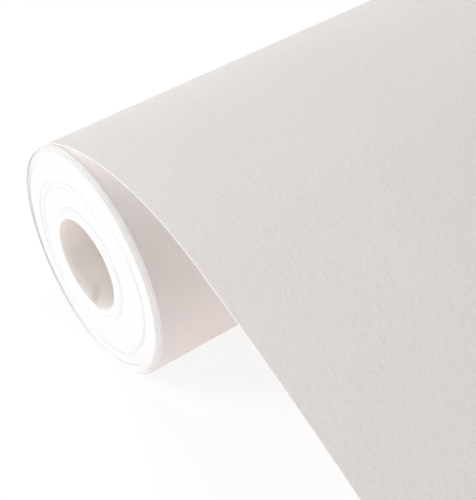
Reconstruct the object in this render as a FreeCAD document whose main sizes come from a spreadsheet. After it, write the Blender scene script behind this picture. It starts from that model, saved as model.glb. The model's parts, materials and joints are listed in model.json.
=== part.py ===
import FreeCAD, Part
import math
import os
import Sketcher
from FreeCAD import Placement, Rotation, Vector

# A roll of heavy backdrop paper lying on its side, with its free end drawn off over the top.
# Frame: origin on the roll's axis at mid width, +X along the axis, +Z up, and the sheet is
# drawn off towards -Y. Angles round the axis are measured from +Y towards +Z.

doc = FreeCAD.newDocument("BackdropPaperRoll")

# Driving dimensions, in millimetres and degrees.
driving = {
    # the paper and its tube
    "paper_width": 660.0,
    "paper_thickness": 0.5,
    "roll_radius": 49.0,           # outer face of the outermost turn where the sheet leaves it
    "core_bore_radius": 19.05,     # 1 1/2 in tube
    "inner_ply_wall": 0.6,
    "board_wall": 3.8,
    "outer_ply_wall": 0.6,
    "core_overhang": 2.1,          # how far each end of the tube stands out of the paper
    "seam_angle": -105.0,          # where the inner ply's lengthwise edge lies
    "seam_opening": 8.0,           # butt gap between the inner ply's two edges, in degrees
    # the strip that fastens the paper's inner end
    "tape_thickness": 0.15,
    "tape_reach": 60.0,            # degrees of the core that it covers
    "tape_angle": 35.0,
    # groups of turns, from the core outwards
    "layer_gap": 0.05,
    "inner_turns_wall": 10.7,
    "loose_turns_wall": 1.0,
    "rim_turns_wall": 1.2,
    "face_step": 1.0,              # how far the turns stand out past the outermost one, at -X
    "loose_recess": 0.6,
    "rim_recess": 0.8,
    # the outermost turn, which laps under the sheet that leaves it
    "lap_gap": 0.1,
    "lap_reach": 10.0,
    "spin_gap": 0.3,               # between the turning pack and the outermost turn
    # the drawn-off sheet: slopes in degrees above or below the level
    "leave_angle": 41.5,
    "rise_radius": 78.2,
    "rise_end_slope": 17.9,
    "crest_radius": 116.6,
    "crest_end_slope": -19.3,
    "fall_radius": 1010.0,
    "fall_end_slope": -24.0,
    "landing_radius": 200.0,
    "landed_length": 60.0,
    # the leading end, which slides out as the roll turns
    "pay_out_turns": 1.0,
    "wind_in_turns": 0.25,
    "lead_margin": 8.0,            # lead that still laps the sheet, or stands out, at the limits
    "slide_gap": 0.3,
}

sizes = doc.addObject("Spreadsheet::Sheet", "Sizes")
for row, (alias, value) in enumerate(driving.items(), start=1):
    sizes.set(f"A{row}", alias)
    sizes.set(f"B{row}", str(value))
    sizes.setAlias(f"B{row}", alias)
doc.recompute()


def size(alias):
    return float(sizes.get(alias))


def origin_feature(body, role):
    for feature in body.Origin.OriginFeatures:
        if feature.Role == role:
            return (feature, [""])
    raise ValueError("no origin feature " + role)


def new_body(name):
    body = doc.addObject("PartDesign::Body", name)
    body.Label = name
    return body


def ring(name, inner, outer, length, shift):
    # a closed tube about X; inner, outer, length and shift are expressions
    body = new_body(name)
    profile = body.newObject("Sketcher::SketchObject", name + "_profile")
    profile.AttachmentSupport = origin_feature(body, "YZ_Plane")
    profile.MapMode = "FlatFace"
    for first_guess, radius in ((1.0, inner), (2.0, outer)):
        circle = profile.addGeometry(Part.Circle(Vector(), Vector(0, 0, 1), first_guess))
        profile.addConstraint(Sketcher.Constraint("Coincident", circle, 3, -1, 1))
        rule = profile.addConstraint(Sketcher.Constraint("Radius", circle, first_guess))
        profile.setExpression(f"Constraints[{rule}]", radius)
    pad = body.newObject("PartDesign::Pad", name + "_length")
    pad.Profile = profile
    pad.SideType = "Symmetric"
    pad.setExpression("Length", length)
    body.setExpression("Placement.Base.x", shift)
    return body


def open_ring(name, inner, wall, length, sweep, start_angle):
    # a tube about X that doesn't close: it starts at start_angle and goes round by sweep
    body = new_body(name)
    profile = body.newObject("Sketcher::SketchObject", name + "_profile")
    profile.AttachmentSupport = origin_feature(body, "XZ_Plane")
    profile.MapMode = "FlatFace"
    corners = [Vector(-2, 2), Vector(2, 2), Vector(2, 3), Vector(-2, 3)]
    for number, corner in enumerate(corners):
        profile.addGeometry(Part.LineSegment(corner, corners[(number + 1) % 4]))
    for number in range(4):
        profile.addConstraint(Sketcher.Constraint("Coincident", number, 2, (number + 1) % 4, 1))
    for direction, side in (("Vertical", 1), ("Horizontal", 2), ("Vertical", 3)):
        profile.addConstraint(Sketcher.Constraint(direction, side))
    profile.addConstraint(Sketcher.Constraint("Symmetric", 0, 1, 0, 2, -2))
    rules = (
        (Sketcher.Constraint("DistanceX", 0, 1, 0, 2, 4.0), length),
        (Sketcher.Constraint("DistanceY", 1, 1, 1, 2, 1.0), wall),
        (Sketcher.Constraint("DistanceY", -1, 1, 0, 1, 2.0), inner),
    )
    for constraint, expression in rules:
        rule = profile.addConstraint(constraint)
        profile.setExpression(f"Constraints[{rule}]", expression)
    turn = body.newObject("PartDesign::Revolution", name + "_turn")
    turn.Profile = profile
    turn.ReferenceAxis = origin_feature(body, "X_Axis")
    turn.setExpression("Angle", sweep)
    body.Placement = Placement(Vector(), Rotation(Vector(1, 0, 0), start_angle - 90.0))
    return body


# --- the core tube and the strip that starts the paper -------------------------------------

core_length = "Sizes.paper_width + 2 * Sizes.core_overhang"
bore = "Sizes.core_bore_radius"
board_inner = bore + " + Sizes.inner_ply_wall"
board_outer = board_inner + " + Sizes.board_wall"
core_outer = board_outer + " + Sizes.outer_ply_wall"

seam_sweep = "360 - Sizes.seam_opening"
open_ring("core_inner_ply", bore, "Sizes.inner_ply_wall", core_length, seam_sweep,
          size("seam_angle"))
ring("core_board", board_inner, board_outer, core_length, "0")
ring("core_outer_ply", board_outer, core_outer, core_length, "0")

tape_inner = core_outer + " + Sizes.layer_gap"
tape_outer = tape_inner + " + Sizes.tape_thickness"
open_ring("start_tape", tape_inner, "Sizes.tape_thickness", "Sizes.paper_width",
          "Sizes.tape_reach", size("tape_angle"))

# --- the turns that spin with the core ------------------------------------------------------

pack_outer = ("Sizes.roll_radius - 2 * Sizes.paper_thickness"
              " - Sizes.lap_gap - Sizes.spin_gap")
inner_start = tape_outer + " + Sizes.layer_gap"
inner_end = inner_start + " + Sizes.inner_turns_wall"
loose_start = inner_end + " + Sizes.layer_gap"
loose_end = loose_start + " + Sizes.loose_turns_wall"
outer_start = loose_end + " + Sizes.layer_gap"
rim_start = pack_outer + " - Sizes.rim_turns_wall"
outer_end = rim_start + " - Sizes.layer_gap"

turn_groups = (
    ("turns_inner", inner_start, inner_end, "-Sizes.face_step"),
    ("turns_loose", loose_start, loose_end, "Sizes.loose_recess - Sizes.face_step"),
    ("turns_outer", outer_start, outer_end, "-Sizes.face_step"),
    ("turns_rim", rim_start, pack_outer, "Sizes.rim_recess - Sizes.face_step"),
)
for name, start, end, shift in turn_groups:
    ring(name, start, end, "Sizes.paper_width", shift)


# --- the outermost turn and the sheet that leaves it ----------------------------------------

def ahead(heading):
    return Vector(0, math.cos(math.radians(heading)), math.sin(math.radians(heading)))


def left_of(heading):
    return ahead(heading + 90.0)


def trace(point, heading, runs, side):
    # Edges of a line that keeps a distance of side to the left of a path. The path starts at
    # point and heading, and each run is ("bend", radius, degrees), positive to the left, or
    # ("straight", length). Also returns the path's own end and heading.
    edges = []
    for run in runs:
        if run[0] == "straight":
            start = point
            point = start + ahead(heading) * run[1]
            offset = left_of(heading) * side
            edges.append(Part.LineSegment(start + offset, point + offset).toShape())
            continue
        to_centre = math.copysign(run[1], run[2])
        centre = point + left_of(heading) * to_centre
        stations = [heading + run[2] * share for share in (0.0, 0.5, 1.0)]
        marks = [centre + left_of(station) * (side - to_centre) for station in stations]
        edges.append(Part.Arc(*marks).toShape())
        heading = stations[-1]
        point = centre - left_of(heading) * to_centre
    return edges, point, heading


def first_point(edges):
    return edges[0].valueAt(edges[0].FirstParameter)


def last_point(edges):
    return edges[-1].valueAt(edges[-1].LastParameter)


def bent_sheet(name, point, heading, runs):
    # a sheet of the paper's width and thickness whose middle follows the path
    half = size("paper_thickness") / 2
    left, end, end_heading = trace(point, heading, runs, half)
    right = trace(point, heading, runs, -half)[0]
    start_cap = Part.LineSegment(first_point(left), first_point(right)).toShape()
    end_cap = Part.LineSegment(last_point(left), last_point(right)).toShape()
    outline = Part.Wire(Part.__sortEdges__(left + [end_cap] + right + [start_cap]))
    solid = Part.Face(outline).extrude(Vector(size("paper_width"), 0, 0))
    feature = doc.addObject("Part::Feature", name)
    feature.Label = name
    feature.Shape = solid
    feature.Placement = Placement(Vector(-size("paper_width") / 2, 0, 0), Rotation())
    return feature, end


thickness = size("paper_thickness")
middle_radius = size("roll_radius") - thickness / 2
leave_angle = size("leave_angle")
leave_point = left_of(leave_angle - 90.0) * middle_radius

# The outermost turn runs back from the leaving line, round the roll and under itself. Its
# radius shrinks by one thickness and one gap each turn.
wrap_bends = 8
wrap_sweep = 360.0 + size("lap_reach")
wrap_pitch = thickness + size("lap_gap")
wrap_runs = []
for number in range(wrap_bends):
    turned = (number + 0.5) * wrap_sweep / wrap_bends
    radius = middle_radius - wrap_pitch * turned / 360.0
    wrap_runs.append(("bend", radius, -wrap_sweep / wrap_bends))
outer_turn, wrap_end = bent_sheet("outer_turn", leave_point, leave_angle - 90.0, wrap_runs)
floor_level = outer_turn.Shape.BoundBox.ZMin

# The drawn-off sheet springs up off the roll, arches over and runs down in a straight slope
# to a wide bend that lays it level, just clear of the leading end that slides under it.
leave_slope = 90.0 - leave_angle
rise_end = size("rise_end_slope")
crest_end = size("crest_end_slope")
fall_end = size("fall_end_slope")
arch_runs = [
    ("bend", size("rise_radius"), leave_slope - rise_end),
    ("bend", size("crest_radius"), rise_end - crest_end),
    ("bend", size("fall_radius"), crest_end - fall_end),
]
leave_heading = leave_angle + 90.0
arch_foot = trace(leave_point, leave_heading, arch_runs, 0.0)[1]
landed_level = floor_level + thickness + size("slide_gap") + thickness / 2
landing_drop = size("landing_radius") * (1 - math.cos(math.radians(fall_end)))
slope_drop = arch_foot.z - landing_drop - landed_level
slope_length = slope_drop / math.sin(math.radians(-fall_end))
sheet_runs = arch_runs + [
    ("straight", slope_length),
    ("bend", size("landing_radius"), fall_end),
    ("straight", size("landed_length")),
]
sheet_arch, sheet_end = bent_sheet("sheet_arch", leave_point, leave_heading, sheet_runs)

# --- the leading end, flat on the surface that the roll lies on -----------------------------

sheet_lead = doc.addObject("Part::Box", "sheet_lead")
sheet_lead.Label = "sheet_lead"
sheet_lead.setExpression("Length", "Sizes.paper_width")
turn_length = "2 * pi * (Sizes.roll_radius - Sizes.paper_thickness / 2)"
lead_turns = "(Sizes.pay_out_turns + Sizes.wind_in_turns)"
sheet_lead.setExpression("Width", f"{lead_turns} * {turn_length} + 2 * Sizes.lead_margin")
sheet_lead.setExpression("Height", "Sizes.paper_thickness")
wind_in = size("wind_in_turns") * 2 * math.pi * middle_radius
lead_front = sheet_end.y - wind_in - size("lead_margin")
lead_corner = Vector(-size("paper_width") / 2, lead_front, floor_level)
sheet_lead.Placement = Placement(lead_corner, Rotation())

doc.recompute()

# --- checks and files -----------------------------------------------------------------------

pieces = [
    "core_inner_ply", "core_board", "core_outer_ply", "start_tape",
    "turns_inner", "turns_loose", "turns_outer", "turns_rim",
    "outer_turn", "sheet_arch", "sheet_lead",
]
for item in doc.Objects:
    if "Invalid" in item.State or "Error" in item.State:
        raise RuntimeError(item.Label + " failed: " + ", ".join(item.State))
for name in pieces:
    shape = doc.getObject(name).Shape
    if shape.isNull() or not shape.isValid() or len(shape.Solids) != 1:
        raise RuntimeError(name + " isn't one valid solid")

os.makedirs("parts", exist_ok=True)
for name in pieces:
    doc.getObject(name).Shape.exportStep("parts/" + name + ".step")

core_radius = sum(size(alias) for alias in (
    "core_bore_radius", "inner_ply_wall", "board_wall", "outer_ply_wall"))
wound_area = math.pi * (size("roll_radius") ** 2 - core_radius ** 2)
print(f"paper on the roll: about {wound_area / thickness / 1000:.1f} m")
print(f"paid out per radian: {middle_radius:.2f} mm")
print(f"floor at z {floor_level:.3f}, sheet lands at y {sheet_end.y:.2f}")
print(f"lead front at y {lead_front:.2f}")
print(f"straight slope {slope_length:.1f} mm, wrap ends at y {wrap_end.y:.2f} z {wrap_end.z:.2f}")
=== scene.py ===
import json
import math

import bmesh
import bpy
import numpy as np
from mathutils import Euler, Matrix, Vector


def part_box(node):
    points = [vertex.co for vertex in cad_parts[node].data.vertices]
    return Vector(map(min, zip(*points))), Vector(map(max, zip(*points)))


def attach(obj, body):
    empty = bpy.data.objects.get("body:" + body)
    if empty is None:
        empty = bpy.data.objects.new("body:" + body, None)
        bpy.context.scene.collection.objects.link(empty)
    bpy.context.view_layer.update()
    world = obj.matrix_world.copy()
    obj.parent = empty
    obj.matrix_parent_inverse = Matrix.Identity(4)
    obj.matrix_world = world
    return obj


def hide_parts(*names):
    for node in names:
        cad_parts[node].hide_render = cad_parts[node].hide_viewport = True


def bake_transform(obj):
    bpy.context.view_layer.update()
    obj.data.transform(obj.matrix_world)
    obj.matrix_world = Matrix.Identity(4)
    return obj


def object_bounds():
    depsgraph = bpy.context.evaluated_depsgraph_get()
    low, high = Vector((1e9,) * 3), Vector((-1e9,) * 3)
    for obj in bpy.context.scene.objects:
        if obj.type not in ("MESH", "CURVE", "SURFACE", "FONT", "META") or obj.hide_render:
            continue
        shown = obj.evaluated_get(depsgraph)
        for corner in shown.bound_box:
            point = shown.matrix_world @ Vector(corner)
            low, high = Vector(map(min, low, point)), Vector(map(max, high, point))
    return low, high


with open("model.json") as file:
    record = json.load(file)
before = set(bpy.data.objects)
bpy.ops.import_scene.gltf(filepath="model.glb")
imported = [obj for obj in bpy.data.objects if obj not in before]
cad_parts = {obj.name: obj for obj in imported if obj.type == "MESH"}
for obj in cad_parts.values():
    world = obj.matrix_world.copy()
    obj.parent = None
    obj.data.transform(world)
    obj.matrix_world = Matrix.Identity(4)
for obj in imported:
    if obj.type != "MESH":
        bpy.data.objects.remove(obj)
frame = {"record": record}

# A roll of heavy backdrop paper on a board core, its free end drawn off over the top.
# Lengths in the dictionaries are millimetres and angles degrees. Angles round the roll's axis
# are measured from +Y towards +Z, and the near end is the one at -X.
mm = 0.001
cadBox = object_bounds()
floorLevel = cadBox[0].z
boreRadius = frame["record"]["mounts"][0]["dims"]["r_mm"] * mm
print("frame loaded: floor at", round(floorLevel, 5), "bore", round(boreRadius, 5))


def outerRadius(node):
    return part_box(node)[1].z


def halfLength(node):
    low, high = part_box(node)
    return (high.x - low.x) / 2


# node helpers

def feed(tree, socket, value):  # a link from a socket, or a plain value
    if isinstance(value, bpy.types.NodeSocket):
        tree.links.new(value, socket)
    elif value is not None:
        socket.default_value = value


def addNode(tree, kind, settings=None, **values):
    # values go to inputs by name, with underscores for spaces
    node = tree.nodes.new(kind)
    for name, setting in (settings or {}).items():
        setattr(node, name, setting)
    for name, value in values.items():
        feed(tree, node.inputs[name.replace("_", " ")], value)
    return node


def calc(tree, operation, *values, clamp=False):
    node = tree.nodes.new("ShaderNodeMath")
    node.operation = operation
    node.use_clamp = clamp
    for socket, value in zip(node.inputs, values):
        feed(tree, socket, value)
    return node.outputs[0]


def smoothRise(tree, value, start, end):  # 0 before start, 1 after end
    node = addNode(tree, "ShaderNodeMapRange", {"interpolation_type": "SMOOTHSTEP"},
                   Value=value, From_Min=start, From_Max=end)
    return node.outputs["Result"]


# materials

def newMaterial(name):
    material = bpy.data.materials.new(name)
    material.use_nodes = True
    tree = material.node_tree
    tree.nodes.clear()
    output = tree.nodes.new("ShaderNodeOutputMaterial")
    shader = tree.nodes.new("ShaderNodeBsdfPrincipled")
    tree.links.new(shader.outputs["BSDF"], output.inputs["Surface"])
    place = tree.nodes.new("ShaderNodeTexCoord").outputs["Object"]
    return material, tree, shader, place


def stretched(tree, place, scale):  # object coordinates scaled along each axis
    node = addNode(tree, "ShaderNodeMapping", {"vector_type": "POINT"},
                   Vector=place, Scale=scale)
    return node.outputs["Vector"]


def noise(tree, place, size, detail=3.0, roughness=0.55):  # size is one feature's, in mm
    node = addNode(tree, "ShaderNodeTexNoise", Vector=place, Scale=1 / (size * mm),
                   Detail=detail, Roughness=roughness)
    return node.outputs["Fac"]


noiseSpan = (0.3, 0.7)  # a noise seldom leaves this span


def shadeBetween(tree, factor, low, high):
    ramp = tree.nodes.new("ShaderNodeValToRGB")
    feed(tree, ramp.inputs["Fac"], factor)
    for element, position, colour in zip(ramp.color_ramp.elements, noiseSpan, (low, high)):
        element.position = position
        element.color = (*colour, 1)
    return ramp.outputs["Color"]


def mixed(tree, factor, first, second):  # two colours, each a socket or plain
    node = tree.nodes.new("ShaderNodeMix")
    node.data_type = "RGBA"
    feed(tree, node.inputs[0], factor)
    for socket, colour in ((node.inputs[6], first), (node.inputs[7], second)):
        plain = isinstance(colour, tuple)
        feed(tree, socket, (*colour, 1) if plain else colour)
    return node.outputs[2]


def bumped(tree, height, distance, under=None):  # distance in mm
    node = addNode(tree, "ShaderNodeBump", Height=height, Distance=distance * mm,
                   Normal=under)
    return node.outputs["Normal"]


def setGloss(shader, look):
    shader.inputs["Roughness"].default_value = look["roughness"]
    shader.inputs["Specular IOR Level"].default_value = look["specular"]


paperLook = {
    "light": (0.830, 0.795, 0.772), "dark": (0.800, 0.763, 0.740),
    "patchSize": 70.0, "patchShare": 0.6, "roughness": 0.88, "specular": 0.25,
    "grainSize": 2.2, "grainDepth": 0.22, "fibreSize": 0.5, "fibreDepth": 0.04,
    "glow": 0.3, "glowReach": (1.0, 0.9, 0.85), "glowDepth": 1.2,
    # painted light: a glow in the narrow gap under the sheet, standing for light that comes
    # through the sheet and stays there
    "throughLight": 0.27, "throughColour": (1.0, 0.97, 0.965),
}


def makePaper():
    look = paperLook
    material, tree, shader, place = newMaterial("grainedPaper")
    patches = noise(tree, place, look["patchSize"], detail=4.0)
    grain = noise(tree, place, look["grainSize"], detail=2.0, roughness=0.6)
    fibres = noise(tree, place, look["fibreSize"], roughness=0.7)
    mottle = calc(tree, "ADD", calc(tree, "MULTIPLY", patches, look["patchShare"]),
                  calc(tree, "MULTIPLY", grain, 1.0 - look["patchShare"]))
    feed(tree, shader.inputs["Base Color"],
         shadeBetween(tree, mottle, look["dark"], look["light"]))
    setGloss(shader, look)
    # light passes a little way through
    shader.inputs["Subsurface Weight"].default_value = look["glow"]
    shader.inputs["Subsurface Radius"].default_value = look["glowReach"]
    shader.inputs["Subsurface Scale"].default_value = look["glowDepth"] * mm
    # painted light: the sheet glows where it lies close over the turn below
    shader.inputs["Emission Color"].default_value = (*look["throughColour"], 1)
    held = addNode(tree, "ShaderNodeAttribute", {"attribute_name": "narrowGap"})
    feed(tree, shader.inputs["Emission Strength"],
         calc(tree, "MULTIPLY", held.outputs["Fac"], look["throughLight"]))
    coarse = bumped(tree, grain, look["grainDepth"])
    feed(tree, shader.inputs["Normal"], bumped(tree, fibres, look["fibreDepth"], under=coarse))
    return material


cutLook = {
    "light": (0.864, 0.868, 0.868), "dark": (0.834, 0.838, 0.836),
    "roughness": 0.92, "specular": 0.15, "fluffSize": 0.35, "fluffDepth": 0.05,
    # the loose outer turns' edges get painted shade, grey on one side, from one radius to another
    "paintedEdgeShade": (0.585, 0.583, 0.578), "edgeShadeFrom": 43.6, "edgeShadeTo": 44.8,
    "edgeShadeAngle": -28.0, "edgeShadeSpread": 1.25, "edgeShadeFade": 1.5,
}
edgeLook = {
    "light": (0.880, 0.868, 0.858), "dark": (0.850, 0.838, 0.828),
    "roughness": 0.92, "specular": 0.15, "fluffSize": 0.35, "fluffDepth": 0.05,
}


def makeCutEdge(name, look):
    material, tree, shader, place = newMaterial(name)
    fluff = noise(tree, place, look["fluffSize"], detail=4.0, roughness=0.7)
    colour = shadeBetween(tree, fluff, look["dark"], look["light"])
    # painted shade: the loose turns' edges are darkened on one side, between two radii
    if "paintedEdgeShade" in look:
        spot = addNode(tree, "ShaderNodeSeparateXYZ", Vector=place)
        side = math.radians(look["edgeShadeAngle"])
        away = calc(tree, "SQRT", calc(tree, "ADD", calc(tree, "POWER", spot.outputs[1], 2.0),
                                       calc(tree, "POWER", spot.outputs[2], 2.0)))
        facing = calc(tree, "ADD", calc(tree, "MULTIPLY", spot.outputs[1], math.cos(side)),
                      calc(tree, "MULTIPLY", spot.outputs[2], math.sin(side)))
        facing = calc(tree, "DIVIDE", facing, away)
        spread = look["edgeShadeSpread"]
        level = calc(tree, "MULTIPLY_ADD", facing, spread, 1.0 - spread, clamp=True)
        level = calc(tree, "POWER", level, look["edgeShadeFade"])
        outer = smoothRise(tree, away, look["edgeShadeFrom"] * mm, look["edgeShadeTo"] * mm)
        colour = mixed(tree, calc(tree, "MULTIPLY", level, outer), colour, look["paintedEdgeShade"])
    feed(tree, shader.inputs["Base Color"], colour)
    setGloss(shader, look)
    feed(tree, shader.inputs["Normal"], bumped(tree, fluff, look["fluffDepth"]))
    return material


liningLook = {
    "light": (0.890, 0.836, 0.800), "dark": (0.868, 0.812, 0.776),
    "paintedLight": (0.98, 0.942, 0.92), "shaded": (0.78, 0.725, 0.685),
    "roughness": 0.8, "specular": 0.3, "streakSize": 2.5, "streakLength": 9.0,
    "fibreSize": 0.6, "fibreDepth": 0.04,
    # past the seam a painted pool of light near the mouth, and before it painted shade
    "seamAngle": -105.0, "slant": 60.0, "paintedLightSpan": 100.0, "paintedLightReach": 12.0,
    "shadedSpan": 20.0, "shadedReach": 9.0, "seamBlur": (-0.02, 0.10),
    # the shares of a span and of a reach where a tone begins to fade
    "spanFade": 0.3, "reachFade": 0.15,
}


def makeLining():
    look = liningLook
    material, tree, shader, place = newMaterial("coreLining")
    along = stretched(tree, place, (1 / look["streakLength"], 1.0, 1.0))
    streaks = noise(tree, along, look["streakSize"], detail=4.0)
    fibres = noise(tree, place, look["fibreSize"], roughness=0.65)
    spot = addNode(tree, "ShaderNodeSeparateXYZ", Vector=place)
    seam = math.radians(look["seamAngle"])
    turned = calc(tree, "SUBTRACT", calc(tree, "ARCTAN2", spot.outputs[2], spot.outputs[1]), seam)
    turned = calc(tree, "WRAP", turned, math.pi, -math.pi)
    deep = calc(tree, "ADD", spot.outputs[0], halfLength("core_inner_ply"))
    colour = shadeBetween(tree, streaks, look["dark"], look["light"])
    # painted light past the seam and painted shade before it, both near the mouth, each bounded
    # by a slanted line
    for side, name in ((-1, "paintedLight"), (1, "shaded")):
        slanted = calc(tree, "SUBTRACT", turned, calc(tree, "MULTIPLY", deep, look["slant"]))
        beyond = calc(tree, "MULTIPLY", slanted, float(side))
        span = math.radians(look[name + "Span"])
        past = smoothRise(tree, beyond, span * look["spanFade"], span)
        near = calc(tree, "MULTIPLY", smoothRise(tree, beyond, *look["seamBlur"]),
                    calc(tree, "SUBTRACT", 1.0, past))
        reach = look[name + "Reach"] * mm
        shallow = calc(tree, "SUBTRACT", 1.0,
                       smoothRise(tree, deep, reach * look["reachFade"], reach))
        colour = mixed(tree, calc(tree, "MULTIPLY", near, shallow), colour, look[name])
    feed(tree, shader.inputs["Base Color"], colour)
    setGloss(shader, look)
    feed(tree, shader.inputs["Normal"], bumped(tree, fibres, look["fibreDepth"]))
    return material


tapeLook = {
    "light": (0.86, 0.84, 0.78), "dark": (0.82, 0.80, 0.74),
    "roughness": 0.45, "specular": 0.4, "fluffSize": 1.2, "fluffDepth": 0.02,
}
boardLook = {
    "light": (0.862, 0.864, 0.860), "dark": (0.832, 0.832, 0.826),
    "roughness": 0.9, "specular": 0.2, "fluffSize": 0.8, "fluffDepth": 0.08,
}

paper = makePaper()
cutEdge = makeCutEdge("cutPaperEdge", cutLook)
sheetEdge = makeCutEdge("sheetEdge", edgeLook)
board = makeCutEdge("coreBoard", boardLook)
lining = makeLining()
tape = makeCutEdge("startTape", tapeLook)
print("materials made")


# a sheet wound into a spiral, as a node tree

windingSet = {
    "grooves": 4, "grooveFocus": 3.0,  # how closely a groove keeps to its own side
    "wanderRate": 0.9, "wanderRadius": 0.7,  # how fast the turns' ends change, and round a turn
    "crownCurve": 1.5, "edgeFacing": 0.6, "sharpAngle": 35.0,
}


def makeWindingTree():
    # The spiral is drawn in XY, given a thin upright section, and turned so that Z becomes X.
    made = windingSet
    tree = bpy.data.node_groups.new("windingTree", "GeometryNodeTree")
    tree.interface.new_socket("Winding", in_out="OUTPUT", socket_type="NodeSocketGeometry")
    sizes = ["Inner Radius", "Pitch", "Turns", "Climb Every", "Climb Share", "Start Angle",
             "Thickness", "Width", "Face Step", "Scatter", "Crown", "Crown Radius", "Crown Reach"]
    for number in range(made["grooves"]):
        sizes += [f"Groove {number} {part}" for part in ("Radius", "Reach", "Depth", "Angle")]
    for name in sizes:
        tree.interface.new_socket(name, in_out="INPUT", socket_type="NodeSocketFloat")
    for name in ("Steps Per Turn", "Seed"):
        tree.interface.new_socket(name, in_out="INPUT", socket_type="NodeSocketInt")
    for name in ("Face Material", "Edge Material"):
        tree.interface.new_socket(name, in_out="INPUT", socket_type="NodeSocketMaterial")
    given = tree.nodes.new("NodeGroupInput").outputs
    result = tree.nodes.new("NodeGroupOutput")

    steps = calc(tree, "MULTIPLY", given["Turns"], given["Steps Per Turn"])
    stepCount = calc(tree, "ROUND", steps)
    points = addNode(tree, "GeometryNodeMeshLine", {"mode": "OFFSET"},
                     Count=calc(tree, "ADD", stepCount, 1.0))
    index = tree.nodes.new("GeometryNodeInputIndex").outputs[0]
    turned = calc(tree, "DIVIDE", index, given["Steps Per Turn"])
    angle = calc(tree, "ADD", calc(tree, "MULTIPLY", turned, math.tau), given["Start Angle"])
    # each turn is round until it climbs onto the one below
    layers = calc(tree, "DIVIDE", turned, given["Climb Every"])
    climb = smoothRise(tree, calc(tree, "FRACT", layers),
                       calc(tree, "SUBTRACT", 1.0, given["Climb Share"]), 1.0)
    layer = calc(tree, "ADD", calc(tree, "FLOOR", layers), climb)
    radius = calc(tree, "MULTIPLY_ADD", layer, given["Pitch"], given["Inner Radius"])

    # how far each turn stands in or out along the axis
    shift = calc(tree, "MULTIPLY", given["Face Step"], -1.0)
    for number in range(made["grooves"]):
        groove = f"Groove {number} "
        away = calc(tree, "ABSOLUTE", calc(tree, "SUBTRACT", radius, given[groove + "Radius"]))
        inside = calc(tree, "SUBTRACT", 1.0,
                      smoothRise(tree, away, 0.0, given[groove + "Reach"]))
        facing = calc(tree, "COSINE", calc(tree, "SUBTRACT", angle, given[groove + "Angle"]))
        level = calc(tree, "POWER", calc(tree, "MULTIPLY_ADD", facing, 0.5, 0.5),
                     made["grooveFocus"])
        depth = calc(tree, "MULTIPLY", calc(tree, "MULTIPLY", inside, level),
                     given[groove + "Depth"])
        shift = calc(tree, "ADD", shift, depth)
    wander = addNode(tree, "ShaderNodeTexNoise", {"noise_dimensions": "4D"},
                     W=calc(tree, "ADD", calc(tree, "MULTIPLY", turned, made["wanderRate"]),
                            given["Seed"]),
                     Scale=1.0, Detail=1.0)
    reach = made["wanderRadius"]
    around = addNode(tree, "ShaderNodeCombineXYZ",
                     X=calc(tree, "MULTIPLY", calc(tree, "COSINE", angle), reach),
                     Y=calc(tree, "MULTIPLY", calc(tree, "SINE", angle), reach))
    feed(tree, wander.inputs["Vector"], around.outputs[0])
    jitter = calc(tree, "SUBTRACT", wander.outputs["Fac"], 0.5)
    shift = calc(tree, "MULTIPLY_ADD", jitter, given["Scatter"], shift)

    # the spiral stays level while it is swept, and its shift is carried along for later
    carried = addNode(tree, "GeometryNodeCaptureAttribute", {"domain": "POINT"})
    carried.capture_items.new("FLOAT", "Shift")
    feed(tree, carried.inputs["Geometry"], points.outputs[0])
    feed(tree, carried.inputs["Shift"], shift)
    place = addNode(tree, "ShaderNodeCombineXYZ",
                    X=calc(tree, "MULTIPLY", radius, calc(tree, "COSINE", angle)),
                    Y=calc(tree, "MULTIPLY", radius, calc(tree, "SINE", angle)))
    spiral = addNode(tree, "GeometryNodeSetPosition", Geometry=carried.outputs["Geometry"],
                     Position=place.outputs[0])
    curve = addNode(tree, "GeometryNodeMeshToCurve", Mesh=spiral.outputs[0])
    upright = addNode(tree, "GeometryNodeSetCurveNormal", {"mode": "Z_UP"},
                      Curve=curve.outputs[0])
    section = addNode(tree, "GeometryNodeCurvePrimitiveQuadrilateral", {"mode": "RECTANGLE"},
                      Width=given["Thickness"], Height=given["Width"])
    swept = addNode(tree, "GeometryNodeCurveToMesh", Curve=upright.outputs[0],
                    Profile_Curve=section.outputs[0], Fill_Caps=True)

    # the end of a pressed tube slopes back towards its outer face
    spot = addNode(tree, "ShaderNodeSeparateXYZ",
                   Vector=tree.nodes.new("GeometryNodeInputPosition").outputs[0])
    span = calc(tree, "SQRT", calc(tree, "ADD",
                                   calc(tree, "MULTIPLY", spot.outputs[0], spot.outputs[0]),
                                   calc(tree, "MULTIPLY", spot.outputs[1], spot.outputs[1])))
    slope = calc(tree, "DIVIDE", calc(tree, "SUBTRACT", span, given["Crown Radius"]),
                 given["Crown Reach"])
    drop = calc(tree, "POWER", calc(tree, "MAXIMUM", slope, 0.0), made["crownCurve"])
    inward = calc(tree, "MULTIPLY", calc(tree, "MULTIPLY", drop, given["Crown"]),
                  calc(tree, "MULTIPLY", calc(tree, "SIGN", spot.outputs[2]), -1.0))
    moved = calc(tree, "ADD", inward, carried.outputs["Shift"])
    crowned = addNode(tree, "GeometryNodeSetPosition", Geometry=swept.outputs[0],
                      Offset=addNode(tree, "ShaderNodeCombineXYZ", Z=moved).outputs[0])

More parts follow.
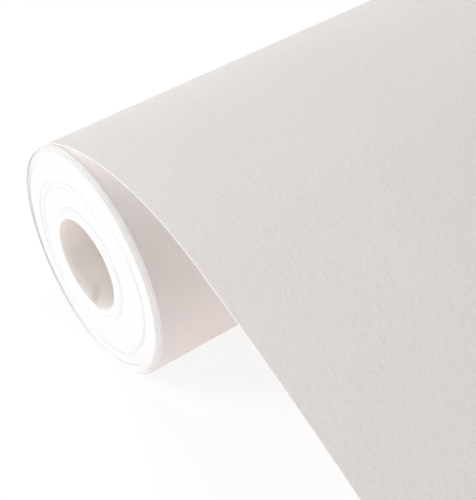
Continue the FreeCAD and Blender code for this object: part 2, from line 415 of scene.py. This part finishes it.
    faced = addNode(tree, "GeometryNodeSetMaterial", Geometry=crowned.outputs[0],
                    Material=given["Face Material"])
    normal = addNode(tree, "ShaderNodeSeparateXYZ",
                     Vector=tree.nodes.new("GeometryNodeInputNormal").outputs[0])
    endwards = addNode(tree, "FunctionNodeCompare", {"operation": "GREATER_THAN"},
                       A=calc(tree, "ABSOLUTE", normal.outputs[0]), B=made["edgeFacing"])
    turnedOver = addNode(tree, "GeometryNodeTransform", Geometry=faced.outputs[0],
                         Rotation=Euler((math.pi / 2, 0, math.pi / 2)))
    realized = addNode(tree, "GeometryNodeRealizeInstances", Geometry=turnedOver.outputs[0])
    edged = addNode(tree, "GeometryNodeSetMaterial", Geometry=realized.outputs[0],
                    Selection=endwards.outputs[0], Material=given["Edge Material"])
    feed(tree, result.inputs[0], edged.outputs[0])
    return tree


windingTree = makeWindingTree()


def plainMesh(obj):
    graph = bpy.context.evaluated_depsgraph_get()
    mesh = bpy.data.meshes.new_from_object(obj.evaluated_get(graph))
    obj.modifiers.clear()
    obj.data = mesh
    return mesh


def softened(mesh, angle):
    mesh.shade_smooth()
    mesh.set_sharp_from_angle(angle=math.radians(angle))


def makeWinding(name, inputs):
    # inputs are the tree's, in metres and radians
    obj = bpy.data.objects.new(name, bpy.data.meshes.new(name))
    bpy.context.scene.collection.objects.link(obj)
    modifier = obj.modifiers.new("winding", "NODES")
    modifier.node_group = windingTree
    for item in windingTree.interface.items_tree:
        if item.in_out == "INPUT" and item.name in inputs:
            modifier[item.identifier] = inputs[item.name]
    mesh = plainMesh(obj)
    mesh.name = name
    softened(mesh, windingSet["sharpAngle"])
    print(name, "has", len(mesh.polygons), "faces")
    return obj


# the wound turns

tapeSet = {
    "thickness": 0.05, "setBack": 4.0, "startAngle": 35.0, "sweep": 60.0, "steps": 24,
    "innerShare": 0.08, "sharpAngle": 50.0,
}
turnsSet = {
    "turns": 40, "gap": 0.012, "outerRadius": 44.3, "stepsPerTurn": 144, "climbShare": 0.04,
    "startAngle": -45.0, "endAngle": -59.4, "coreGap": 0.01, "faceStep": 1.0,
    "scatter": 0.14, "seed": 4,
    # radius, half width, depth and the side where it is deepest
    "grooves": [(35.6, 1.6, 0.5, 10.0), (32.6, 1.2, 0.35, 20.0), (39.0, 1.5, 0.55, -160.0),
                (44.6, 3.0, 0.9, -20.0)],
}


def makeTurns():
    made = turnsSet
    innerRadius = outerRadius("core_outer_ply") + (tapeSet["thickness"] + made["coreGap"]) * mm
    pitch = (made["outerRadius"] * mm - innerRadius) / made["turns"]
    layers = made["turns"] - made["climbShare"]
    wholeTurns = made["turns"] - 1 + (360.0 + made["endAngle"] - made["startAngle"]) / 360.0
    inputs = {
        "Inner Radius": innerRadius + pitch / 2, "Pitch": pitch, "Turns": wholeTurns,
        "Climb Every": wholeTurns / layers, "Climb Share": made["climbShare"],
        "Start Angle": math.radians(made["startAngle"]),
        "Thickness": pitch - made["gap"] * mm, "Width": 2 * halfLength("turns_outer"),
        "Face Step": made["faceStep"] * mm, "Scatter": made["scatter"] * mm,
        "Crown": 0.0, "Crown Radius": 0.0, "Crown Reach": 1.0,
        "Steps Per Turn": made["stepsPerTurn"], "Seed": made["seed"],
        "Face Material": cutEdge, "Edge Material": cutEdge,
    }
    for number, (radius, reach, depth, angle) in enumerate(made["grooves"]):
        groove = f"Groove {number} "
        inputs[groove + "Radius"] = radius * mm
        inputs[groove + "Reach"] = reach * mm
        inputs[groove + "Depth"] = depth * mm
        inputs[groove + "Angle"] = math.radians(angle)
    return makeWinding("wound_turns", inputs)


woundTurns = makeTurns()
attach(woundTurns, "roll")
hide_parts("turns_inner", "turns_loose", "turns_outer", "turns_rim")


# the core tube

coreSet = {
    "boardPlies": 8, "plyGap": 0.012, "stepsPerTurn": 128, "climbShare": 0.06,
    "crown": 0.95, "crownRadius": 21.0, "facingSetBack": 0.95, "facingShare": 0.3,
    "seamAngle": -105.0, "seamRise": 0.05, "riseSpan": 14.0, "seamDrop": 0.06,
    "dropSpan": 24.0, "liningSteps": 180, "endRound": 0.25,
    # the lining flares at its mouths, through this share of its wall and from this far in
    "mouthShare": 0.88, "mouthReach": 1.6, "mouthFacing": 0.7,
    # the share of a wall where its outer bevel starts, and how far in the next rows lie
    "bevelShare": 0.92, "mouthRow": 2.0,
    "clearance": 0.01, "sharpAngle": 50.0,
}


def makeBoard():
    made = coreSet
    innerRadius = outerRadius("core_inner_ply")
    pitch = (outerRadius("core_board") - innerRadius) / made["boardPlies"]
    inputs = {
        "Inner Radius": innerRadius + pitch / 2, "Pitch": pitch,
        "Turns": made["boardPlies"] - made["climbShare"], "Climb Every": 1.0,
        "Climb Share": made["climbShare"], "Start Angle": math.radians(made["seamAngle"]),
        "Thickness": pitch - made["plyGap"] * mm, "Width": 2 * halfLength("core_board"),
        "Scatter": 0.0, "Crown": made["crown"] * mm, "Crown Radius": made["crownRadius"] * mm,
        "Crown Reach": outerRadius("core_board") - made["crownRadius"] * mm,
        "Steps Per Turn": made["stepsPerTurn"], "Seed": 0,
        "Face Material": board, "Edge Material": board,
    }
    return makeWinding("board_tube", inputs)


def tubeMesh(name, innerLine, outerLine, section, closed, materials):
    # a tube about X from two radii at each angle: rows of (angle, inner, outer). The section's
    # points are each a share of the wall, from inside to outside, and a place along X.
    rows = []
    for (angle, inner), (_, outer) in zip(innerLine, outerLine):
        rows.append([(x, (inner + (outer - inner) * share) * math.cos(angle),
                      (inner + (outer - inner) * share) * math.sin(angle))
                     for share, x in section])
    width = len(section)
    count = len(rows)
    vertices = [point for row in rows for point in row]
    faces = []
    for first in range(count if closed else count - 1):
        second = (first + 1) % count
        for column in range(width):
            beside = (column + 1) % width
            faces.append((first * width + column, first * width + beside,
                          second * width + beside, second * width + column))
    if not closed:
        faces.append(tuple(reversed(range(width))))
        faces.append(tuple((count - 1) * width + column for column in range(width)))
    mesh = bpy.data.meshes.new(name)
    mesh.from_pydata(vertices, [], faces)
    for material in materials:
        mesh.materials.append(material)
    mesh.update()
    return mesh


def endSection(half, outerBack, innerShare, innerBack):
    # a wall whose ends are taken back by outerBack outside, and by innerBack inside up to
    # innerShare of the wall
    near = half - innerBack
    row = near - coreSet["mouthRow"] * mm
    bevel = coreSet["bevelShare"]
    return [(1.0, -half + outerBack), (bevel, -half), (innerShare, -half), (0.0, -near),
            (0.0, -row), (0.0, row), (0.0, near), (innerShare, half), (bevel, half),
            (1.0, half - outerBack)]


def outwardObject(name, mesh):
    work = bmesh.new()
    work.from_mesh(mesh)
    bmesh.ops.recalc_face_normals(work, faces=work.faces)
    work.to_mesh(mesh)
    work.free()
    obj = bpy.data.objects.new(name, mesh)
    bpy.context.scene.collection.objects.link(obj)
    return obj


def makeFacing():
    made = coreSet
    inner = outerRadius("core_board")
    outer = outerRadius("core_outer_ply")
    angles = [math.tau * number / made["stepsPerTurn"] for number in range(made["stepsPerTurn"])]
    mesh = tubeMesh("facing_ply", [(angle, inner) for angle in angles],
                    [(angle, outer) for angle in angles],
                    endSection(halfLength("core_outer_ply") - made["facingSetBack"] * mm,
                               made["endRound"] * mm, made["facingShare"],
                               made["endRound"] * mm / 4), True, [board])
    softened(mesh, made["sharpAngle"])
    return outwardObject("facing_ply", mesh)


def makeLiningPly():
    # one turn of lining whose two edges meet at a seam: the first stands proud, the last is thin
    made = coreSet
    outer = outerRadius("core_inner_ply") - made["clearance"] * mm
    steps = made["liningSteps"]
    start = math.radians(made["seamAngle"])
    innerLine, outerLine = [], []
    for number in range(steps + 1):
        turned = 360.0 * number / steps
        rise = max(0.0, 1.0 - turned / made["riseSpan"]) ** 2 * made["seamRise"]
        toEnd = max(0.0, 1.0 - (360.0 - turned) / made["dropSpan"]) ** 2 * made["seamDrop"]
        angle = start + math.radians(turned)
        innerLine.append((angle, boreRadius + (toEnd - rise) * mm))
        outerLine.append((angle, outer))
    mesh = tubeMesh("lining_ply", innerLine, outerLine,
                    endSection(halfLength("core_inner_ply"), made["endRound"] * mm / 4,
                               made["mouthShare"], made["mouthReach"] * mm),
                    False, [lining, board])
    softened(mesh, made["sharpAngle"])
    obj = outwardObject("lining_ply", mesh)
    for face in obj.data.polygons:
        if abs(face.normal.x) > made["mouthFacing"]:
            face.material_index = 1
    return obj


corePieces = [(makeBoard(), "core_board", "core_board"),
              (makeFacing(), "core_outer_ply", "core_lining"),
              (makeLiningPly(), "core_inner_ply", "core_lining")]
for piece, node, slotName in corePieces:
    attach(piece, "roll")
    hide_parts(node)
print("core made")


def makeTape():
    # the strip that holds the paper's inner end, over the CAD tape's stretch of the core
    made = tapeSet
    low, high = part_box("start_tape")
    inner = outerRadius("core_outer_ply") + coreSet["clearance"] * mm
    first = math.radians(made["startAngle"])
    sweep = math.radians(made["sweep"])
    angles = [first + sweep * number / made["steps"] for number in range(made["steps"] + 1)]
    mesh = tubeMesh("start_tape_strip", [(angle, inner) for angle in angles],
                    [(angle, inner + made["thickness"] * mm) for angle in angles],
                    endSection(high.x - made["setBack"] * mm, 0.0, made["innerShare"], 0.0),
                    False, [tape])
    softened(mesh, made["sharpAngle"])
    return outwardObject("start_tape_strip", mesh)


startTape = makeTape()
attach(startTape, "roll")
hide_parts("start_tape")


# the outermost turn and the sheet drawn off over the top, one piece of paper

sheetSet = {
    "thickness": 0.5, "rollRadius": 49.0, "pitch": 0.52, "turns": 8, "startAngle": -74.0,
    "climbAngle": 14.0, "leaveAngle": 41.5,
    "riseRadius": 78.2, "riseEndSlope": 17.9, "crestRadius": 116.6, "crestEndSlope": -19.3,
    "fallRadius": 1010.0, "fallEndSlope": -24.0, "landingRadius": 200.0,
    "stepsPerTurn": 90, "step": 2.2, "flatStep": 2.0, "sharpAngle": 50.0,
    # across the sheet: close columns along both cut edges, then even ones
    "edgeColumns": (0.0, 0.6, 2.0, 5.0), "firstColumn": 12.0, "columnWidth": 18.0,
    # the loose outer turns, at angles round the axis back from the leaving line: how far the
    # outermost stands out of a true spiral, and how far its edge sits in from the face
    "outOfRound": [(-318.5, -0.44), (-309.0, -0.1), (-300.0, 0.8), (-290.0, 1.95),
                   (-280.0, 2.25), (-270.0, 2.05), (-255.0, 1.75), (-240.0, 1.1),
                   (-225.0, 0.65), (-205.0, 0.42), (-180.0, 0.3), (-165.0, 0.3),
                   (-150.0, 0.5), (-135.0, 0.65), (-120.0, 0.5), (-90.0, 0.35),
                   (-60.0, 0.1), (-20.0, 0.0), (10.0, -0.25), (30.0, -0.5), (41.5, -0.5)],
    "settleAngle": 25.0,
    "setIn": [(-318.5, 0.9), (-300.0, 0.5), (-290.0, 0.65), (-270.0, 1.1), (-240.0, 1.5),
              (-195.0, 1.5), (-150.0, 1.5), (-120.0, 1.25), (-90.0, 0.9), (-60.0, 0.86),
              (-30.0, 1.15), (0.0, 1.3), (41.5, 0.9)],
    "innerSetIn": [(-318.5, 0.5), (-300.0, 0.25), (-280.0, 0.0), (-100.0, 0.0), (-70.0, 0.7),
                   (-40.0, 1.3), (0.0, 1.3), (30.0, 0.7), (41.5, 0.5)],
    # how many turns inwards the set-in starts to fade, and over how many it does
    "setInFrom": 0.75, "setInFade": 3.4,
    # the share of the slack between the loose turns that their felted faces fill
    "feltShare": 0.9,
    "faceStep": 1.0, "fadeAngle": 45.0,
    # the free sheet's waves: each one's share of the height, length, slant and phase
    "waveHeight": 0.22, "waves": [(1.0, 240.0, 9.0, 0.0), (0.6, 103.2, -14.0, 1.3)],
    "waveRise": 90.0, "waveFall": 80.0,
    "edgeWave": 0.12, "edgeWaveRate": 21.0, "edgeWavePhase": 0.4,
    # a gap's light falls off with its height, and towards the sheet's two edges
    "gapFade": 7.0, "gapEdge": 2.0, "gapSpan": 110.0,
}


def turtle(start, heading, runs, step):
    # points (y, z) along bends ("bend", radius, degrees) and straights ("straight", length)
    points = []
    place = np.array(start, float)
    for run in runs:
        if run[0] == "straight":
            parts = max(1, round(run[1] / step))
            ahead = np.array([math.cos(heading), math.sin(heading)])
            for number in range(1, parts + 1):
                points.append(place + ahead * run[1] * number / parts)
            place = points[-1]
            continue
        radius = math.copysign(run[1], run[2])
        turn = math.radians(run[2])
        parts = max(1, round(abs(turn * radius) / step))
        centre = place + radius * np.array([-math.sin(heading), math.cos(heading)])
        for number in range(1, parts + 1):
            now = heading + turn * number / parts
            points.append(centre + radius * np.array([math.sin(now), -math.cos(now)]))
        heading += turn
        place = points[-1]
    return points, heading


def eased(share):  # from 0 to 1 with level ends
    return share ** 2 * (3 - 2 * share)


def smoothTable(values, table):
    # an even curve through a table's few marks, level past both ends
    marks, heights = (np.array(column) for column in zip(*table))
    slopes = np.gradient(heights, marks)
    slopes[0] = slopes[-1] = 0.0
    spot = np.clip(np.searchsorted(marks, values) - 1, 0, len(marks) - 2)
    gap = marks[spot + 1] - marks[spot]
    share = np.clip((values - marks[spot]) / gap, 0.0, 1.0)
    low, high = heights[spot], heights[spot + 1]
    lowSlope, highSlope = slopes[spot] * gap, slopes[spot + 1] * gap
    return ((2 * share ** 3 - 3 * share ** 2 + 1) * low
            + (share ** 3 - 2 * share ** 2 + share) * lowSlope
            + (3 * share ** 2 - 2 * share ** 3) * high
            + (share ** 3 - share ** 2) * highSlope)


def looseTurns():
    # the turns' middle line in the YZ plane, from the lap on the pack to the leaving line
    made = sheetSet
    middle = made["rollRadius"] - made["thickness"] / 2
    sweep = 360.0 * made["turns"] + made["leaveAngle"] - made["startAngle"]
    # steps counted back from the leaving line, so that the turns' corners lie on one another
    stepAngle = 360.0 / made["stepsPerTurn"]
    steps = math.floor(sweep / stepAngle)
    points = []
    for swept in [0.0] + [sweep - stepAngle * (steps - 1 - number) for number in range(steps)]:
        angle = math.radians(made["startAngle"] + swept)
        whole, part = divmod(swept, 360.0)
        climb = eased(max(0.0, 1.0 - (360.0 - part) / made["climbAngle"]))
        radius = middle - made["pitch"] * (made["turns"] - whole - climb)
        points.append(np.array([math.cos(angle), math.sin(angle)]) * radius)
    return points, sweep


def freeRun(start):
    # the arch, the slope, the landing and the flat run, and where the last one starts
    made = sheetSet
    riseEnd, crestEnd, fallEnd = (made[name] for name in
                                  ("riseEndSlope", "crestEndSlope", "fallEndSlope"))
    arch, heading = turtle(start, math.radians(made["leaveAngle"] + 90.0),
                           [("bend", made["riseRadius"], 90.0 - made["leaveAngle"] - riseEnd),
                            ("bend", made["crestRadius"], riseEnd - crestEnd),
                            ("bend", made["fallRadius"], crestEnd - fallEnd)], made["step"])
    flatLevel = floorLevel / mm + made["thickness"] / 2
    landingDrop = made["landingRadius"] * (1 - math.cos(math.radians(fallEnd)))
    slope = (arch[-1][1] - landingDrop - flatLevel) / math.sin(math.radians(-fallEnd))
    landing, heading = turtle(arch[-1], heading, [("straight", slope),
                                                  ("bend", made["landingRadius"], fallEnd)],
                              made["step"])
    flatStart = landing[-1][0]
    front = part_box("sheet_lead")[0].y / mm
    flat, _ = turtle(landing[-1], heading, [("straight", flatStart - front)],
                     made["flatStep"])
    return arch + landing + flat, flatStart


def setAside(polar, back, seen):
    # how far the sheet is moved along the roll's axis
    made = sheetSet
    inwards = np.maximum(back / 360.0 - made["setInFrom"], 0.0) / made["setInFade"]
    setIn = smoothTable(seen, made["setIn"]) * np.clip(1.0 - inwards, 0.0, 1.0)
    setIn += smoothTable(seen, made["innerSetIn"]) * np.clip(back / 360.0, 0.0, 1.0)
    past = np.clip((polar - made["leaveAngle"]) / made["fadeAngle"], 0.0, 1.0)
    return (setIn - made["faceStep"]) * (1.0 - eased(past))


def gapNarrowness(points, polar, back):
    # 1 where the sheet lies on the turn below it, on that turn's outside and its own inside
    made = sheetSet
    span = np.linalg.norm(points, axis=1)
    over = (polar >= made["leaveAngle"]) & (polar < made["leaveAngle"] + made["gapSpan"])
    under = (back > 360.0 - made["gapSpan"]) & (back <= 360.0)
    below, above = polar[under] + 360.0, polar[over]
    gap = np.full(len(points), np.inf)
    gap[under] = np.interp(below, above, span[over]) - span[under]
    gap[over] = span[over] - np.interp(above, below, span[under])
    narrow = np.exp(-np.maximum(gap - made["thickness"], 0.0) / made["gapFade"])
    return np.stack([np.where(under, narrow, 0.0), np.where(over, narrow, 0.0)])


def sheetPath():
    # The middle of the sheet in the YZ plane, from the lap on the pack to the front, with what
    # varies along it. Angles are followed back from the leaving line, a turn being 360.
    made = sheetSet
    wound, sweep = looseTurns()
    leaveRow = len(wound) - 1
    free, flatStart = freeRun(wound[-1])
    points = np.array(wound + free)
    polar = np.degrees(np.unwrap(np.arctan2(points[:, 1], points[:, 0])))
    polar += made["leaveAngle"] - polar[leaveRow]
    back = np.maximum(made["leaveAngle"] - polar, 0.0)
    seen = made["leaveAngle"] - back % 360.0
    bulge = smoothTable(seen, made["outOfRound"])
    below = np.floor(back / 360.0)
    swell = np.where(below > 0, np.maximum(bulge, 0.0) / made["turns"] * made["feltShare"], 0.0)
    settled = np.clip((polar - made["leaveAngle"]) / made["settleAngle"], 0.0, 1.0)
    bulge *= (1.0 - below / made["turns"]) * (1.0 - eased(settled))
    sink = np.where(back > sweep - 360.0, np.maximum(bulge, 0.0) * made["feltShare"], 0.0)
    outward = points / np.linalg.norm(points, axis=1)[:, None]
    points = points + outward * bulge[:, None]
    return {"path": points * mm, "leaveRow": leaveRow, "flatStart": flatStart * mm,
            "aside": setAside(polar, back, seen) * mm, "swell": swell * mm, "sink": sink * mm,
            "narrow": gapNarrowness(points, polar, back)}


def makeSheet():
    made = sheetSet
    line = sheetPath()
    path, flatStart, leaveRow = line["path"], line["flatStart"], line["leaveRow"]
    along = np.concatenate([[0.0], np.cumsum(np.linalg.norm(np.diff(path, axis=0), axis=1))])
    headings = np.gradient(path, along, axis=0)
    headings /= np.linalg.norm(headings, axis=1)[:, None]
    outward = np.stack([headings[:, 1], -headings[:, 0]], axis=1)  # away from the roll
    half = halfLength("sheet_arch")
    inset = np.array(made["edgeColumns"]) * mm
    reach = half - made["firstColumn"] * mm
    between = np.linspace(-reach, reach, round(2 * half / mm / made["columnWidth"]))
    across = np.concatenate([-half + inset, between, half - inset[::-1]])

    # the sheet is free from the leaving line to the floor, and waves a little there
    flatMark = along[np.argmin(np.abs(path[:, 0] - flatStart))]
    rise = np.clip((along - along[leaveRow]) / (made["waveRise"] * mm), 0, 1)
    fall = np.clip((flatMark - along) / (made["waveFall"] * mm), 0, 1)
    free = eased(rise * fall)
    s, x = np.meshgrid(along, across, indexing="ij")  # along and across the sheet
    wave = sum(share * np.sin(x * math.tau / (length * mm) + s * slant + phase)
               for share, length, slant, phase in made["waves"])
    lift = wave * free[:, None] * made["waveHeight"] * mm
    sideways = made["edgeWave"] * mm * np.sin(s * made["edgeWaveRate"] + made["edgeWavePhase"])
    sideways[:, 1:-1] = 0.0  # only the two cut edges wander, and each its own way
    sideways[:, 0] *= -1.0

    rows, columns = s.shape
    faceCount = rows * columns
    vertices = np.zeros((2, rows, columns, 3))
    for layer, offset in enumerate((0.5, -0.5)):
        height = lift + offset * made["thickness"] * mm
        # the loose turns' felted faces keep touching, and the first one's lies on the pack
        height += line["swell"][:, None] if offset > 0 else -line["sink"][:, None]
        vertices[layer, :, :, 0] = x + sideways + line["aside"][:, None]
        vertices[layer, :, :, 1] = path[:, 0, None] + outward[:, 0, None] * height
        vertices[layer, :, :, 2] = path[:, 1, None] + outward[:, 1, None] * height

    def at(layer, row, column):
        return layer * faceCount + row * columns + column

    faces, kinds = [], []  # paper, the loose turns' edges, and the free sheet's edge
    for row in range(rows - 1):
        for column in range(columns - 1):
            quad = [(row, column), (row, column + 1), (row + 1, column + 1), (row + 1, column)]
            faces.append([at(0, *corner) for corner in quad])
            faces.append([at(1, *corner) for corner in reversed(quad)])
            kinds += [0, 0]
    rim = [(row, 0) for row in range(rows)]
    rim += [(rows - 1, column) for column in range(1, columns)]
    rim += [(row, columns - 1) for row in range(rows - 2, -1, -1)]
    rim += [(0, column) for column in range(columns - 2, 0, -1)]
    for here, there in zip(rim, rim[1:] + rim[:1]):
        faces.append([at(0, *here), at(0, *there), at(1, *there), at(1, *here)])
        kinds.append(1 if min(here[0], there[0]) < leaveRow else 2)
    mesh = bpy.data.meshes.new("drawn_sheet")
    mesh.from_pydata(vertices.reshape(-1, 3).tolist(), [], faces)
    for material in (paper, cutEdge, sheetEdge):
        mesh.materials.append(material)
    mesh.polygons.foreach_set("material_index", kinds)
    inside = np.clip((half - np.abs(across)) / (made["gapEdge"] * mm), 0.0, 1.0)
    gapLight = mesh.attributes.new("narrowGap", "FLOAT", "POINT")
    gapLight.data.foreach_set("value", (line["narrow"][:, :, None] * inside).ravel())
    mesh.update()
    softened(mesh, made["sharpAngle"])
    obj = outwardObject("drawn_sheet", mesh)
    return obj, flatStart, along[-1], 2 * half


drawnSheet, flatStart, sheetLength, sheetWidth = makeSheet()
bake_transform(drawnSheet)
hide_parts("outer_turn", "sheet_arch", "sheet_lead")
print("sheet made, length", round(sheetLength, 4), "flat from y", round(flatStart, 4))


# floor, light and camera

stageSet = {
    "floorSize": 9000.0, "floorDrop": 0.2, "floorColour": (0.9, 0.9, 0.9),
    "shownColour": (0.22, 0.22, 0.22), "floorGlow": 0.81,
    # what the bright floor gives back to the object, beside the lamps' own bounce
    "bounce": (0.243, 0.181, 0.180),
    "worldColour": (1.0, 1.0, 1.0), "worldStrength": 0.18, "shownStrength": 0.84,
    "aim": (-150.0, -60.0, 0.0), "distance": 2200.0,
    # each lamp's name, direction from the aim, size, level and colour
    "lamps": [("key", (-0.74, 0.35, 0.56), 1100.0, 0.52, (0.975, 0.995, 1.0)),
              ("overhead", (0.12, 0.17, 1.0), 1400.0, 0.412, (1.0, 0.985, 0.99)),
              ("lowFill", (-0.65, -0.76, 0.05), 900.0, 0.41, (0.99, 1.0, 1.0))],
}


def whenSeen(tree):  # 1 for rays from the camera, and through or off glass and metal
    rays = tree.nodes.new("ShaderNodeLightPath").outputs
    seen = calc(tree, "MAXIMUM", rays["Is Camera Ray"], rays["Is Glossy Ray"])
    return calc(tree, "MAXIMUM", seen, rays["Is Transmission Ray"])


def makeFloor():
    made = stageSet
    half = made["floorSize"] / 2 * mm
    level = floorLevel - made["floorDrop"] * mm
    mesh = bpy.data.meshes.new("floor")
    corners = [(-half, -half), (half, -half), (half, half), (-half, half)]
    mesh.from_pydata([(x, y, level) for x, y in corners], [], [(0, 1, 2, 3)])
    material, tree, shader, _ = newMaterial("paleFloor")
    seen = whenSeen(tree)
    feed(tree, shader.inputs["Base Color"],
         mixed(tree, seen, made["floorColour"], made["shownColour"]))
    shader.inputs["Roughness"].default_value = 1.0
    shader.inputs["Specular IOR Level"].default_value = 0.0
    glow = made["floorGlow"]
    feed(tree, shader.inputs["Emission Color"],
         mixed(tree, seen, made["bounce"], (glow, glow, glow)))
    shader.inputs["Emission Strength"].default_value = 1.0
    mesh.materials.append(material)
    floor = bpy.data.objects.new("floor", mesh)
    bpy.context.scene.collection.objects.link(floor)


def makeWorld():
    made = stageSet
    world = bpy.data.worlds.new("softWhite")
    bpy.context.scene.world = world
    world.use_nodes = True
    tree = world.node_tree
    tree.nodes.clear()
    seen = whenSeen(tree)
    lit = addNode(tree, "ShaderNodeBackground", Color=(*made["worldColour"], 1),
                  Strength=made["worldStrength"])
    shown = addNode(tree, "ShaderNodeBackground", Color=(1, 1, 1, 1),
                    Strength=made["shownStrength"])
    either = tree.nodes.new("ShaderNodeMixShader")
    for socket, value in zip(either.inputs, (seen, lit.outputs[0], shown.outputs[0])):
        feed(tree, socket, value)
    output = tree.nodes.new("ShaderNodeOutputWorld")
    feed(tree, output.inputs["Surface"], either.outputs[0])


def makeLamps():
    # at level 1 a white surface that faces the lamp renders as white
    made = stageSet
    distance = made["distance"] * mm
    for name, source, size, level, colour in made["lamps"]:
        light = bpy.data.lights.new(name, "AREA")
        light.shape = "DISK"
        light.size = size * mm
        light.energy = math.pi ** 2 * distance ** 2 * level
        light.color = colour
        lamp = bpy.data.objects.new(name, light)
        bpy.context.scene.collection.objects.link(lamp)
        direction = Vector(source).normalized()
        lamp.location = Vector(made["aim"]) * mm + direction * distance
        lamp.rotation_euler = direction.to_track_quat("Z", "Y").to_euler()


cameraSet = {
    "lens": 93.86, "sensor": 36.0, "clipStart": 10.0,
    "place": (-504.1, -325.4, 355.3), "turn": (46.28, 0.0, -37.10),
}


def makeCamera():
    made = cameraSet
    lens = bpy.data.cameras.new("camera")
    lens.lens = made["lens"]
    lens.sensor_width = made["sensor"]
    lens.clip_start = made["clipStart"] * mm
    camera = bpy.data.objects.new("camera", lens)
    bpy.context.scene.collection.objects.link(camera)
    camera.location = Vector(made["place"]) * mm
    camera.rotation_euler = Euler([math.radians(angle) for angle in made["turn"]])
    bpy.context.scene.camera = camera


makeFloor()
makeWorld()
makeLamps()
makeCamera()
bpy.context.scene.view_settings.view_transform = "Standard"
print("stage, lights and camera set")
